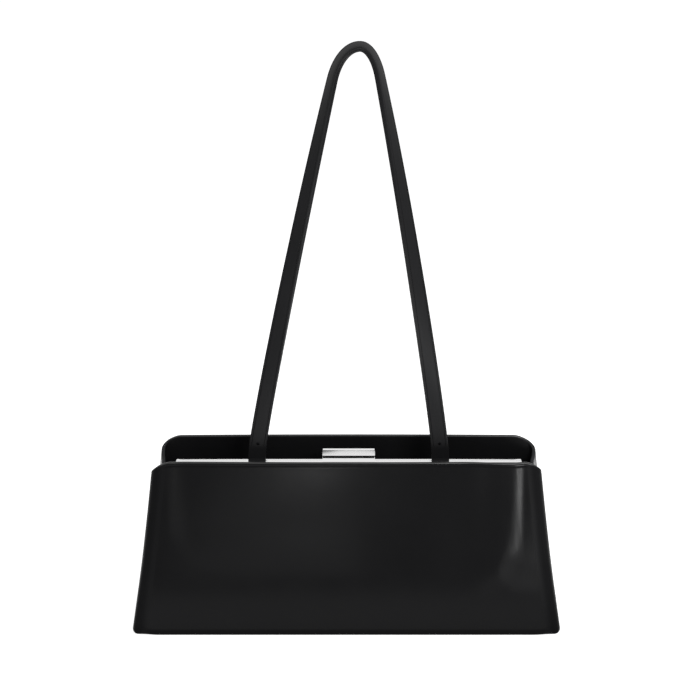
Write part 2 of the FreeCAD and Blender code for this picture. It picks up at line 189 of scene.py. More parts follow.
class MetalSettings(bpy.types.PropertyGroup):
    """Colours of the metalwork and the hidden board."""

    polished: colour("Polished", "Colour of the polished nickel plate", "#E6E6E6")
    dark: colour("Dark", "Colour of the blackened rivets", "#0c0c0d")
    magnet: colour("Magnet", "Colour of the plated magnet", "#9c9ca0")
    board: colour("Board", "Colour of the grey board in the base", "#6f6b64")


class StageSettings(bpy.types.PropertyGroup):
    """Camera and floor."""

    camera_place: bpy.props.FloatVectorProperty(
        name="Camera", description="Place of the camera", default=(0.0009, -1.220, 0.5643),
        subtype="TRANSLATION")
    camera_pitch: angle("Pitch", "How far the camera looks down", 16.72)
    lens: bpy.props.FloatProperty(
        name="Lens", description="Focal length of the camera", default=95.03, unit="CAMERA")
    floor_size: length("Floor size", "Side of the floor", 12.0)
    floor: colour("Floor", "Colour of the floor and the backdrop", "#FFFFFF")


# Helpers

SMOOTH_ANGLE = math.radians(50)  # edges sharper than this stay sharp in the shading
BEVEL_ANGLE = math.radians(60)  # edges sharper than this are eased


def select_only(piece):
    """Makes the piece the only selected and active object."""
    bpy.ops.object.select_all(action="DESELECT")
    piece.select_set(True)
    bpy.context.view_layer.objects.active = piece


def smooth_outwards(piece):
    """Turns every face outwards and shades the piece smoothly up to its sharp edges."""
    select_only(piece)
    bpy.ops.object.mode_set(mode="EDIT")
    bpy.ops.mesh.select_all(action="SELECT")
    bpy.ops.mesh.normals_make_consistent(inside=False)
    bpy.ops.object.mode_set(mode="OBJECT")
    bpy.ops.object.shade_smooth_by_angle(angle=SMOOTH_ANGLE)


def loft(name, rings, joined):
    """Skin over closed rings of points; the last ring joins the first, or both ends are capped."""
    count = len(rings[0])
    points = [point for ring in rings for point in ring]
    faces = []
    for at in range(len(rings) if joined else len(rings) - 1):
        low = at * count
        high = (at + 1) % len(rings) * count
        for here in range(count):
            there = (here + 1) % count
            faces.append((low + here, low + there, high + there, high + here))
    if not joined:
        faces.append(tuple(reversed(range(count))))
        faces.append(tuple(range(len(points) - count, len(points))))
    mesh = bpy.data.meshes.new(name)
    mesh.from_pydata(points, [], faces)
    piece = bpy.data.objects.new(name, mesh)
    bpy.context.collection.objects.link(piece)
    smooth_outwards(piece)
    return piece


def name_piece(piece, name):
    """Gives the piece and its mesh a name."""
    piece.name = name
    piece.data.name = name


def cut_sheet(name, across, along, place, thickness):
    """A sheet of even thickness, laid by place(u, v), with u and v from 0 to 1."""
    bpy.ops.object.select_all(action="DESELECT")
    bpy.ops.mesh.primitive_grid_add(x_subdivisions=across, y_subdivisions=along, size=2)
    piece = bpy.context.object
    name_piece(piece, name)
    for vertex in piece.data.vertices:
        vertex.co = place((vertex.co.x + 1) / 2, (vertex.co.y + 1) / 2)
    add_modifier(piece, "SOLIDIFY", thickness=thickness, offset=0, use_even_offset=True)
    smooth_outwards(piece)
    return piece


def add_modifier(piece, kind, **settings):
    """Adds a modifier with its settings and applies it."""
    select_only(piece)
    modifier = piece.modifiers.new(kind.title(), kind)
    for name, value in settings.items():
        setattr(modifier, name, value)
    bpy.ops.object.modifier_apply(modifier=modifier.name)


def join(pieces, name):
    """Makes one piece of several."""
    select_only(pieces[0])
    for piece in pieces[1:]:
        piece.select_set(True)
    if len(pieces) > 1:
        bpy.ops.object.join()
    name_piece(pieces[0], name)
    return pieces[0]


def dress(piece, material):
    """Gives the piece one material."""
    piece.data.materials.clear()
    piece.data.materials.append(material)


def dress_node(node, material):
    """Gives a carried-over solid one material."""
    for at in range(len(frame["nodes"][node].material_slots)):
        frame["nodes"][node].material_slots[at].material = material


def ease(share):
    """Goes smoothly from 0 to 1 with the share, and stays there."""
    share = min(max(share, 0.0), 1.0)
    return share * share * (3 - 2 * share)


# Materials

def add_node(tree, kind, inputs=None, **settings):
    """Adds a node with its settings; an input is a value, or the output socket that feeds it."""
    node = tree.nodes.new(kind)
    for name, value in settings.items():
        setattr(node, name, value)
    for name, value in (inputs or {}).items():
        if isinstance(value, bpy.types.NodeSocket):
            tree.links.new(value, node.inputs[name])
        else:
            node.inputs[name].default_value = value
    return node


def new_material(name):
    """A new node material, its node tree, and the piece's own coordinates in it."""
    material = bpy.data.materials.new(name)
    material.use_nodes = True
    tree = material.node_tree
    tree.nodes.clear()
    return material, tree, add_node(tree, "ShaderNodeTexCoord").outputs["Object"]


def shade(colour_value, factor):
    """A colour made lighter or darker."""
    return [min(part * factor, 1.0) for part in list(colour_value)[:3]] + [1.0]


def finish_surface(tree, base, pattern, tones, settings, relief=None):
    """Closes a material: a pattern varies its tone, and a relief (height, strength, depth) its surface."""
    inputs = dict(settings)
    dark, light = tones
    tone = add_node(
        tree, "ShaderNodeMix", {0: pattern, 6: shade(base, dark), 7: shade(base, light)}, data_type="RGBA")
    inputs["Base Color"] = tone.outputs[2]
    if relief:
        height, strength, depth = relief
        bump = add_node(tree, "ShaderNodeBump", {"Height": height, "Strength": strength, "Distance": depth})
        inputs["Normal"] = bump.outputs["Normal"]
    shader = add_node(tree, "ShaderNodeBsdfPrincipled", inputs)
    add_node(tree, "ShaderNodeOutputMaterial", {"Surface": shader.outputs["BSDF"]})


def calf(name, base, gloss_low, gloss_high, level, rubbed=None):
    """Black calf: a thin clear glaze over a fine grain mirrors lights softly, and less so where rubbed."""
    material, tree, place = new_material(name)
    # The glaze is rubbed on by hand and lies unevenly, in patches about 40 mm wide
    cloud = add_node(tree, "ShaderNodeTexNoise", {"Vector": place, "Scale": 1 / 0.040, "Detail": 2.0})
    # Calf's pores are about 0.2 mm apart; drawn at 0.8 mm, so that they show
    grain = add_node(
        tree, "ShaderNodeTexVoronoi", {"Vector": place, "Scale": 1 / 0.0008}, feature="SMOOTH_F1")
    glaze = add_node(tree, "ShaderNodeMapRange", {
        "Value": cloud.outputs["Fac"], "From Min": 0.3, "From Max": 0.7,
        "To Min": gloss_low, "To Max": gloss_high})
    roughness = glaze.outputs["Result"]
    if rubbed:
        wear = add_node(tree, "ShaderNodeAttribute", attribute_name="rubbed")
        worn = add_node(tree, "ShaderNodeMix", {0: wear.outputs["Fac"], 2: roughness, 3: rubbed})
        roughness = worn.outputs[0]
    finish_surface(
        tree, base, cloud.outputs["Fac"], (0.85, 1.2), {"Roughness": roughness, "Specular IOR Level": level},
        relief=(grain.outputs["Distance"], 0.10, 0.0001))
    return material


@functools.cache
def polished_calf():
    """Outside of the body: glazed and polished, so that it is deep black with clear, soft-edged highlights.

    The upright folds are rubbed in use, so the glaze is duller there and a highlight along a fold is a
    soft band.
    """
    return calf("polished_black_calf", bpy.context.scene.bag_body.leather, 0.17, 0.23, 0.055, rubbed=0.80)


@functools.cache
def edge_calf():
    """Turned edge of the lips: burnished where it goes over the edge, so it takes a thin line of light."""
    return calf("burnished_black_calf", bpy.context.scene.bag_body.leather, 0.26, 0.34, 0.5)


@functools.cache
def end_edge_highlight_calf():
    """Top edge of the ends: cut and inked, so it is matt; its even dark grey line is lighter than the leather
    partly as a painted highlight, which stands in for the light that falls on this upward-facing edge.
    """
    return calf("inked_highlit_black_calf", bpy.context.scene.bag_body.cut_edge_highlight, 0.70, 0.80, 0.05)


@functools.cache
def facing_calf():
    """Facings inside the lips: the same calf without its glaze, matt and a little greyer."""
    return calf("unglazed_black_calf", bpy.context.scene.bag_body.facing, 0.45, 0.55, 0.10)


@functools.cache
def strap_calf():
    """Strap: calf waxed by hand, half matt, which shows more of its own black than of the room."""
    return calf("waxed_black_calf", bpy.context.scene.bag_strap.leather, 0.28, 0.36, 0.06)


@functools.cache
def pouch_leather():
    """Thin split leather of the pouch: matt, with a soft short grain that scatters light."""
    material, tree, place = new_material("thin_split_leather")
    # Tumbled grain has 83 cells to 100 mm, about 1.2 mm each
    grain = add_node(tree, "ShaderNodeTexVoronoi", {"Vector": place, "Scale": 83 / 0.1}, feature="SMOOTH_F1")
    height = grain.outputs["Distance"]
    finish_surface(
        tree, bpy.context.scene.bag_body.pouch_leather, height, (0.8, 1.3),
        {"Roughness": 0.55, "Specular IOR Level": 0.25}, relief=(height, 0.25, 0.0002))
    return material


@functools.cache
def lining_twill():
    """Cotton twill: fine slanting ribs, each a soft ridge, with a faint sheen."""
    material, tree, place = new_material("cotton_twill")
    # Ribs of real twill are 0.4 mm apart; drawn at 1.2 mm, so that they show
    ribs = add_node(
        tree, "ShaderNodeTexWave", {"Vector": place, "Scale": 2 * math.pi / (10 * 0.0012), "Distortion": 0.4},
        bands_direction="DIAGONAL")
    height = ribs.outputs["Fac"]
    finish_surface(
        tree, bpy.context.scene.bag_body.cloth, height, (0.7, 1.4),
        {"Roughness": 0.8, "Specular IOR Level": 0.2, "Sheen Weight": 0.1}, relief=(height, 0.4, 0.0002))
    return material


@functools.cache
def polished_nickel():
    """Bright nickel plate on brass: a clean mirror, broken only by faint polishing lines along the bars."""
    material, tree, place = new_material("polished_nickel_plate")
    # Polishing lines run along the bars: 33 to 10 mm, which is 0.3 mm apart, and each about 17 mm long
    across, along = 33 / 0.01, 0.6 / 0.01
    drawn = add_node(tree, "ShaderNodeMapping", {"Vector": place, "Scale": (along, across, across)})
    lines = add_node(
        tree, "ShaderNodeTexNoise", {"Vector": drawn.outputs["Vector"], "Scale": 1.0, "Detail": 2.0})
    gloss = add_node(
        tree, "ShaderNodeMapRange", {"Value": lines.outputs["Fac"], "To Min": 0.03, "To Max": 0.08})
    finish_surface(
        tree, bpy.context.scene.bag_metal.polished, lines.outputs["Fac"], (0.95, 1.03),
        {"Roughness": gloss.outputs["Result"], "Metallic": 1.0})
    return material


@functools.cache
def blackened_steel():
    """Blackened steel of the rivets: dark and half glossy, rubbed a little lighter in spots."""
    material, tree, place = new_material("blackened_steel")
    # Rubbed spots about 1 mm across
    rub = add_node(tree, "ShaderNodeTexNoise", {"Vector": place, "Scale": 1 / 0.001, "Detail": 1.0})
    finish_surface(
        tree, bpy.context.scene.bag_metal.dark, rub.outputs["Fac"], (0.7, 1.5),
        {"Roughness": 0.35, "Metallic": 1.0})
    return material


@functools.cache
def plated_magnet():
    """Nickel-plated magnet: a greyer, duller plate with a fine cast grain."""
    material, tree, place = new_material("plated_magnet")
    # The grain of a pressed magnet is too fine to see; drawn at 0.5 mm, so that it shows
    grain = add_node(tree, "ShaderNodeTexNoise", {"Vector": place, "Scale": 1 / 0.0005, "Detail": 2.0})
    finish_surface(
        tree, bpy.context.scene.bag_metal.magnet, grain.outputs["Fac"], (0.8, 1.1),
        {"Roughness": 0.32, "Metallic": 1.0})
    return material


@functools.cache
def grey_board():
    """Grey board of pressed waste paper: matt, with pale and dark flecks of fibre."""
    material, tree, place = new_material("grey_board")
    # 65 flecks of fibre to 100 mm, about 1.5 mm each
    flecks = add_node(tree, "ShaderNodeTexNoise", {"Vector": place, "Scale": 65 / 0.1, "Detail": 4.0})
    height = flecks.outputs["Fac"]
    finish_surface(
        tree, bpy.context.scene.bag_metal.board, height, (0.6, 1.3), {"Roughness": 0.9},
        relief=(height, 0.2, 0.0001))
    return material


# Leather body

# Relief of the front panel, in metres
TURN_RUN = 0.008  # height over which the swell's edge starts to lean
EDGE_RUN = 0.03  # height over which that edge then grows to twice its width
SWELL_REST = 0.35  # share of the swell that is left away from its edge
SWELL_START = 0.026  # height at which the swell starts, and over which it rises
SWELL_SIDE = 0.080  # distance right of the middle at which the swell takes over from the pressed-in part
SIDE_RUN = 0.025  # width over which it does
PRESS_EDGE = 0.015  # width of the pressed-in part's soft edge by the left fold
PRESS_RISE = 0.045  # height over which the pressed-in part deepens

# Stations round the body and sections of its skin: up from the foot, over the turned edge, down the facing
FOLD_STEPS, END_STEPS = 7, 12
FOOT_STEPS, WALL_STEPS, EDGE_STEPS, FACING_STEPS = 5, 34, 8, 17
TUCK_START = 0.15  # share of the height at which an end starts to fold in
RIM = 0.008  # height of the part of the wall that follows the fall of the edge
# Turned edge of the lips: distances below the edge, each with its share of the groove's depth
BEAD = (
    (0.0080, 0), (0.0060, 0), (0.0047, -0.12), (0.0038, -0.2), (0.0031, 0.05), (0.0027, 0.6),
    (0.0024, 1.0), (0.0021, 0.9), (0.0018, 0.4), (0.0015, 0.05))
FACING_DEPTHS = (0.0022, 0.0040, 0.0080)  # distances below the edge on the facing
SOLE_HEIGHT = 0.0006  # height above the ground at which the facing ends
SOLE_GAP = 0.0003  # how far that end stays inside the foot's round edge
CORNER_START = 0.9  # share of a wall's half past which the foot's edge grows towards the corner
WEAR_START = 0.95  # share of a wall's half past which the glaze is rubbed
WEAR_END = 0.35  # share of a fold past which the glaze comes back
WEAR_RUN = 0.4  # share of a fold over which it comes back


def half_length(body, z):
    """Half of the body's length at a height."""
    share = z / body.lip_height
    return body.base_length / 2 - body.end_taper * share - body.end_hollow * math.sin(math.pi * share)


def half_depth(body, z):
    """Half of the body's depth at a height."""
    return body.base_depth / 2 - body.face_taper * z / body.lip_height


def front_relief(body, x, z):
    """How far the front panel stands out over the pouch behind it.

    By the right fold it swells, and falls back steeply along an edge that leans in towards the foot.
    Elsewhere it is pressed in a little, up to a soft edge by the left fold.
    """
    drop = body.swell_turn - z
    below = (drop + math.hypot(drop, TURN_RUN)) / 2
    outside = x - body.swell_reach + body.swell_lean * below
    left = -x - body.swell_reach + body.press_lean * below
    edge = body.swell_edge * (1 + ease(drop / EDGE_RUN))
    rise = SWELL_REST + (1 - SWELL_REST) * ease(1 + outside / body.swell_slope)
    swell = body.swell * rise * (1 - ease(outside / edge + 0.5)) * ease((z - SWELL_START) / SWELL_START)
    press = body.press * (1 - ease(left / PRESS_EDGE + 0.5)) * ease((z - body.swell_foot) / PRESS_RISE)
    right = ease((x - SWELL_SIDE) / SIDE_RUN)
    return right * swell - (1 - right) * press


def back_relief(body, x, z):
    """How far the back panel stands out: one soft swell."""
    across = max(0.0, 1 - (x / half_length(body, z)) ** 2)
    up = math.sin(math.pi * min(max(z / body.lip_height, 0.0), 1.0))
    return body.swell * across * up


def body_columns():
    """Stations round the body from the front's left end: kind, side in x and y, share of the way along."""
    # Along the front and the back they stand three times closer together by the folds
    fine = [0.90 + 0.01 * step for step in range(11)]
    faces = [-share for share in reversed(fine)] + [-0.87 + 0.03 * step for step in range(59)] + fine
    folds = [step / FOLD_STEPS for step in range(1, FOLD_STEPS)]
    ends = [-1 + step / END_STEPS for step in range(2 * END_STEPS + 1)]
    columns = [("face", 0, -1, share) for share in faces]
    columns += [("fold", 1, -1, share) for share in folds]
    columns += [("end", 1, 0, share) for share in ends]
    columns += [("fold", 1, 1, share) for share in reversed(folds)]
    columns += [("face", 0, 1, share) for share in reversed(faces)]
    columns += [("fold", -1, 1, share) for share in folds]
    columns += [("end", -1, 0, share) for share in reversed(ends)]
    columns += [("fold", -1, -1, share) for share in reversed(folds)]
    return columns


def column_top(body, column):
    """Height of the body's edge at a station: level along the lips, then one soft fall round the fold."""
    kind, side_x, side_y, share = column
    fold_line = half_length(body, body.lip_height) - body.fold_radius
    start = fold_line + body.fold_radius - body.lip_corner
    if side_x > 0 or kind == "face" and share > 0:
        # On an end, the share itself runs from the front to the back
        start -= body.corner_skew * (side_y or share)
    if kind == "face":
        walked = abs(share) * fold_line - start
    elif kind == "fold":
        walked = fold_line - start + body.fold_radius * share * math.pi / 2
    else:
        along = (1 - abs(share)) * (half_depth(body, body.lip_height) - body.fold_radius)
        walked = fold_line - start + body.fold_radius * math.pi / 2 + along
    return body.lip_height - body.gusset_drop * ease(walked / body.corner_run)


def shift_at(body, y, z):
    """How far the body hangs to the left at a depth: all of the shift at the front, none at the back."""
    return body.front_shift * min(max(0.5 - 0.5 * y / half_depth(body, z), 0.0), 1.0)


def body_point(body, column, z, inset):
    """A point of the body's wall at a station and a height, moved inwards by the inset."""
    kind, side_x, side_y, share = column
    long = half_length(body, z)
    deep = half_depth(body, z)
    radius = body.fold_radius
    if kind == "face":
        x = share * (long - radius)
        relief = front_relief(body, x, z) if side_y < 0 else back_relief(body, x, z)
        bow = body.lip_bow * (1 - share ** 2) * (z / body.lip_height) ** 2
        # The relief fades out just before the folds
        y = side_y * (deep + bow + relief * (1 - share ** 20) - inset)
    elif kind == "fold":
        turn = share * math.pi / 2
        x = side_x * (long - radius + (radius - inset) * math.sin(turn))
        y = side_y * (deep - radius + (radius - inset) * math.cos(turn))
    else:
        up = ease((z / body.lip_height - TUCK_START) / (1 - TUCK_START))
        tuck = body.gusset_tuck * (1 - share ** 2) ** 1.5 * up
        x = side_x * (long - tuck - inset)
        y = share * (deep - radius)
    narrow = body.back_narrow * max(y / deep, 0.0) * z / body.lip_height
    return Vector((x * (1 - narrow / long) - shift_at(body, y, z), y, z))


def column_foot(body, column):
    """Radius of the foot's edge at a station: it is larger round the corners."""
    kind, _, _, share = column
    near = 1.0 if kind == "fold" else ease((abs(share) - CORNER_START) / (1 - CORNER_START))
    return body.foot_radius + (body.foot_corner - body.foot_radius) * near


def column_wear(column):
    """How much the glaze is rubbed at a station: all of it where a wall turns into a fold, none past it."""
    kind, _, _, share = column
    if kind == "face":
        return ease((abs(share) - WEAR_START) / (1 - WEAR_START))
    return 1 - ease((share - WEAR_END) / WEAR_RUN) if kind == "fold" else 0.0


def make_body(body):
    """One skin: up the outside from the foot, over the turned edge of the lips and down the facing."""
    wall = body.wall
    profile = []
    for step in range(FOOT_STEPS + 1):
        turn = math.pi / 2 * step / FOOT_STEPS
        profile.append(("foot", 1 - math.cos(turn), 1 - math.sin(turn)))
    profile += [("wall", step / WALL_STEPS, 0.0) for step in range(1, WALL_STEPS)]
    profile += [("rim", depth, share * body.bead_groove) for depth, share in BEAD]
    for step in range(EDGE_STEPS + 1):
        turn = math.pi * step / EDGE_STEPS
        profile.append(("rim", wall / 2 * (1 - math.sin(turn)), wall / 2 * (1 - math.cos(turn))))
    profile += [("rim", depth, wall) for depth in FACING_DEPTHS]
    profile += [("wall", 1 - step / FACING_STEPS, wall) for step in range(1, FACING_STEPS)]
    profile.append(("sole", SOLE_HEIGHT, wall))
    columns = body_columns()
    rings = []
    for kind, value, inset in profile:
        ring = []
        for column in columns:
            top = column_top(body, column)
            foot = column_foot(body, column)
            depth = inset
            if kind == "foot":
                z = foot * value
                depth = foot * inset
            elif kind == "sole":
                z = value
                depth = max(inset, foot + SOLE_GAP)
            elif kind == "wall":
                z = foot + value * (top - RIM - foot)
            else:
                z = top - value
            ring.append(body_point(body, column, z, depth))
        rings.append(ring)
    piece = loft("bag_body", rings, True)
    dress(piece, polished_calf())
    for material in (edge_calf(), facing_calf(), end_edge_highlight_calf()):
        piece.data.materials.append(material)
    outside, edge, facing, end_edge = range(4)
    # A face lies between its own section and the next; on the facing, the inset is the whole wall
    for face in piece.data.polygons:
        kind, value, inset = profile[face.index // len(columns)]
        if kind in ("rim", "wall", "sole") and inset > wall * 0.9:
            face.material_index = facing
        elif kind == "rim" and value < wall * 0.49:
            # The top edge of the ends and folds takes the grey with its painted highlight
            face.material_index = edge if columns[face.index % len(columns)][0] == "face" else end_edge
        else:
            face.material_index = outside
    wear = piece.data.attributes.new("rubbed", "FLOAT", "POINT")
    wear.data.foreach_set("value", [column_wear(column) for ring in rings for column in columns])
    return piece


class BAG_OT_body(bpy.types.Operator):
    """Lofts the leather body with its turned lips and folded ends"""

    bl_idname = "bag.body"
    bl_label = "Leather body"

    def execute(self, context):
        piece = make_body(context.scene.bag_body)
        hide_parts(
            "front_panel", "back_panel", "left_gusset", "right_gusset", "front_facing", "back_facing")
        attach(piece, "bag")
        return {"FINISHED"}


# Base, lining and pouch

SLAB_EASE = 0.0004  # easing of the edges of the base and the board
# Height off what is below, gap inside the foot's edge or the walls, and radius of the corners
BASE_LIFT, BASE_GAP, BASE_CORNER = 0.0002, 0.0006, 0.0065
BOARD_LIFT, BOARD_GAP, BOARD_CORNER = 0.0001, 0.0004, 0.003

LINING_PLAY = 0.0002  # room between the lining and the walls
LINING_STEPS = 12
# Turned hem at the lining's top: shares of its height, and how far the hem swells there
HEM = ((1.0, 0.0), (0.985, 0.0001), (0.955, 0.0))
HEM_FOOT = 0.95  # share of the height at which the hem has ended
FLOOR_LIFT = 0.0006  # how far the floor's lining lifts at the walls
FLOOR_EDGE = 0.03  # share of the floor's length over which it lifts

CHANNEL_MIDDLE = 0.0017  # distance of the pouch's walls from the mouth's middle, in the channels
CHANNEL_DEPTH = 0.0045  # how far below its top a wall has come to that distance
FOOT_PLAY = 0.0003  # how far the walls' foot, and both tips of the ends, stop short of their solids
SEAM_PLAY = 0.0002  # the same at the walls' top and the ends' sides
WALL_PLAY = 0.0004  # the same at the walls' sides
GATHER, GATHER_STEP = 0.0004, 0.014  # height and spacing of the gathers under the channels
BELLY, BELLY_TOP = 0.0008, 0.6  # how far a wall sags inwards, and up to which share of its height
END_THINNING = 0.9  # thickness of the pouch's ends and floor over that of its walls
END_FOLD = 0.0004  # how far an end folds in along its middle
END_TIP = 0.0008  # half of an end's width at its upper tip


def make_slab(body, name, low, high, gap, corner):
    """A slab inside the body's foot with round corners and eased edges, which hangs to the left like it."""
    size = (2 * (half_length(body, high) - gap), 2 * (half_depth(body, high) - gap), high - low)
    bpy.ops.object.select_all(action="DESELECT")
    bpy.ops.mesh.primitive_cube_add(size=1, location=(0, 0, (low + high) / 2), scale=size)
    piece = bpy.context.object
    name_piece(piece, name)
    bpy.ops.object.transform_apply(location=True, rotation=True, scale=True)
    bpy.ops.object.mode_set(mode="EDIT")
    bpy.ops.mesh.select_mode(type="EDGE")
    bpy.ops.mesh.select_all(action="DESELECT")
    bpy.ops.object.mode_set(mode="OBJECT")
    for edge in piece.data.edges:
        ends = [piece.data.vertices[at].co for at in edge.vertices]
        edge.select = abs(ends[0].z - ends[1].z) > size[2] / 2
    bpy.ops.object.mode_set(mode="EDIT")
    bpy.ops.mesh.bevel(offset=corner, segments=6, affect="EDGES")
    bpy.ops.object.mode_set(mode="OBJECT")
    for vertex in piece.data.vertices:
        vertex.co.x -= shift_at(body, vertex.co.y, high)
    add_modifier(piece, "BEVEL", width=SLAB_EASE, segments=3, limit_method="ANGLE", angle_limit=BEVEL_ANGLE)
    smooth_outwards(piece)
    return piece


class BAG_OT_base(bpy.types.Operator):
    """Lays the leather base and the board above it"""

    bl_idname = "bag.base"
    bl_label = "Base and board"

    def execute(self, context):
        body = context.scene.bag_body
        base = make_slab(
            body, "bag_base", BASE_LOW.z + BASE_LIFT, BASE_HIGH.z, body.foot_radius + BASE_GAP, BASE_CORNER)
        dress(base, polished_calf())
        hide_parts("base_panel")
        board = make_slab(
            body, "stiffening_board", BOARD_LOW.z + BOARD_LIFT, BOARD_HIGH.z, body.wall + BOARD_GAP,
            BOARD_CORNER)
        dress(board, grey_board())
        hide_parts("base_board")
        for piece in (base, board):
            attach(piece, "bag")
        return {"FINISHED"}


def make_lining(body):
    """Lining of the four walls: a thin sleeve that stands off the leather and has a turned hem on top."""
    outer = body.wall + LINING_PLAY
    inner = outer + body.lining_wall
    hem = outer + 2 * body.lining_wall
    rise = body.lining_top - body.lining_foot
    profile = [(step / LINING_STEPS, outer) for step in range(LINING_STEPS + 1)]
    profile += [(share, hem + swell) for share, swell in HEM]
    profile += [(HEM_FOOT - HEM_FOOT * step / LINING_STEPS, inner) for step in range(LINING_STEPS + 1)]
    columns = body_columns()
    rings = []
    for share, inset in profile:
        z = body.lining_foot + share * rise
        rings.append([body_point(body, column, z, inset) for column in columns])
    return loft("wall_lining", rings, True)


def room_size(body, z):
    """Length and depth of the room between the walls at a height."""
    gap = body.wall + LINING_PLAY
    return 2 * (half_length(body, z) - gap), 2 * (half_depth(body, z) - gap)


def make_floor_lining(body):
    """Lining over the board: a flat sheet that lifts a little where it meets the walls."""
    long, deep = room_size(body, FLOOR_HIGH.z)

    def place(u, v):
        # Distance to the nearest wall as a share of the length, of which the depth is about a quarter
        edge = min(u, 1 - u, v * 0.25, (1 - v) * 0.25)
        lift = FLOOR_LIFT * (1 - ease(edge / FLOOR_EDGE))
        y = deep * (v - 0.5)
        z = (FLOOR_LOW.z + FLOOR_HIGH.z) / 2 + lift
        return Vector((long * (u - 0.5) - shift_at(body, y, z), y, z))

    return cut_sheet("floor_lining", across=80, along=24, place=place, thickness=body.lining_wall)


class BAG_OT_lining(bpy.types.Operator):
    """Lines the walls and the floor with twill"""

    bl_idname = "bag.lining"
    bl_label = "Lining"

    def execute(self, context):
        body = context.scene.bag_body
        walls = make_lining(body)
        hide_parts("front_lining", "back_lining", "left_gusset_lining", "right_gusset_lining")
        floor = make_floor_lining(body)
        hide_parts("base_lining")
        for piece in (walls, floor):
            dress(piece, lining_twill())
            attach(piece, "bag")
        # The walls' cut narrows upwards: its width is the girth at the foot, and the girth halfway up gives
        # its area
        girth = 2 * sum(room_size(body, body.lining_foot))
        halfway = 2 * sum(room_size(body, (body.lining_top + body.lining_foot) / 2))
        room_size(body, FLOOR_HIGH.z)
        return {"FINISHED"}


def make_pouch_wall(body, side, name):
    """One wall of the pouch in one sheet: up from the floor, in over the hinge and into its channel."""
    low = (abs(POUCH_LOW.y) + abs(POUCH_HIGH.y)) / 2
    neck_top = SKIRT_HIGH.z - CHANNEL_DEPTH
    foot = POUCH_LOW.z + FOOT_PLAY
    top = SKIRT_HIGH.z - SEAM_PLAY

    def place(u, v):
        z = foot + (top - foot) * v
        neck = ease((z - HINGE.z) / (neck_top - HINGE.z))
        x = (POUCH_HIGH.x - WALL_PLAY + (SKIRT_HIGH.x - POUCH_HIGH.x) * neck) * (2 * u - 1)
        # Shallow gathers where the wall narrows into the channel
        gather = GATHER * math.sin(2 * math.pi * x / GATHER_STEP) * math.sin(math.pi * neck)
        belly = BELLY * math.sin(math.pi * u) * math.sin(math.pi * min(v / BELLY_TOP, 1.0))
        return Vector((x, side * (low + (CHANNEL_MIDDLE - low) * neck + gather - belly), z))

    return cut_sheet(name, across=130, along=60, place=place, thickness=body.pouch_wall)


def make_pouch_ends(body):
    """Floor and narrow ends of the pouch; each end folds inwards a little along its middle."""
    thick = body.pouch_wall * END_THINNING

    def lay_floor(u, v):
        x = POUCH_FLOOR_LOW.x + (POUCH_FLOOR_HIGH.x - POUCH_FLOOR_LOW.x) * u
        y = POUCH_FLOOR_LOW.y + (POUCH_FLOOR_HIGH.y - POUCH_FLOOR_LOW.y) * v
        return Vector((x, y, (POUCH_FLOOR_LOW.z + POUCH_FLOOR_HIGH.z) / 2))

    pieces = [cut_sheet("pouch_floor", across=60, along=6, place=lay_floor, thickness=thick)]
    for side in (-1, 1):

        def stand_end(u, v, side=side):
            z = END_LOW.z + FOOT_PLAY + (END_HIGH.z - END_LOW.z - 2 * FOOT_PLAY) * v
            across = 2 * u - 1
            # The end narrows from its shoulder to a round head at the rivet
            head = END_HIGH.z - HINGE.z
            above = max(0.0, z - HINGE.z)
            narrowed = min(max((z - HINGE.z + body.pouch_shoulder) / body.pouch_shoulder, 0.0), 1.0)
            half = END_HIGH.y + (head - END_HIGH.y) * narrowed - SEAM_PLAY
            if above:
                half = min(half, math.sqrt(max(head ** 2 - above ** 2, END_TIP ** 2)))
            fold = END_FOLD * (1 - across ** 2) * math.sin(math.pi * v)
            return Vector((side * ((END_LOW.x + END_HIGH.x) / 2 - fold), across * half, z))

        pieces.append(cut_sheet("pouch_end", across=16, along=40, place=stand_end, thickness=thick))
    return join(pieces, "pouch_ends")


class BAG_OT_pouch(bpy.types.Operator):
    """Lofts the pouch's two walls up into the frame's channels, and lays its floor and ends"""

    bl_idname = "bag.pouch"
    bl_label = "Pouch"

    def execute(self, context):
        body = context.scene.bag_body
        for side, face, half in ((-1, "front", "front_half"), (1, "rear", "rear_half")):
            wall = make_pouch_wall(body, side, f"pouch_{face}")
            dress(wall, pouch_leather())
            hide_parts(f"pouch_{face}_wall", f"pouch_{face}_skirt")
            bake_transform(wall)
        ends = make_pouch_ends(body)
        dress(ends, pouch_leather())
        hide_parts("pouch_left_end", "pouch_right_end", "pouch_base")
        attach(ends, "bag")
        return {"FINISHED"}


# Shoulder strap

ARCH_STEPS, ARM_POINTS, TAB_STEPS, EYE_STEPS = 20, 60, 16, 24
BAND_CROWN = 0.00015  # how far the band's faces rise in their middle
CREASE_DEPTH = 0.0003  # depth of the creased lines on those faces
CREASE_PLACE = 0.76  # their place, as a share of the half-width
# Points across a face, as shares of the half-width
FACE_POINTS = (0.92, 0.80, CREASE_PLACE, 0.72, 0.36, 0.0, -0.36, -0.72, -CREASE_PLACE, -0.80, -0.92)
SEAM_DEPTH, SEAM_HALF = 0.00025, 0.0002  # depth and half-width of the groove where the two layers meet
TWIST_POWER = 1.15  # above 1, the strap turns more towards its crown
EYE_TURN = math.radians(240)  # how far round a loop's bar an end goes
EYE_TOP = 0.0032  # height above the bar's middle at which it starts to
RIVET_SIDES = 28
DOME_SHARE = 1.4  # width of the rounding of a rivet's head over its height


def end_lean(strap, side, z):
    """How far an end has moved to the right at a height above its loop's bar: it leans above the ears."""
    return -side * strap.end_slant * max(z - strap.ear_height, 0.0)


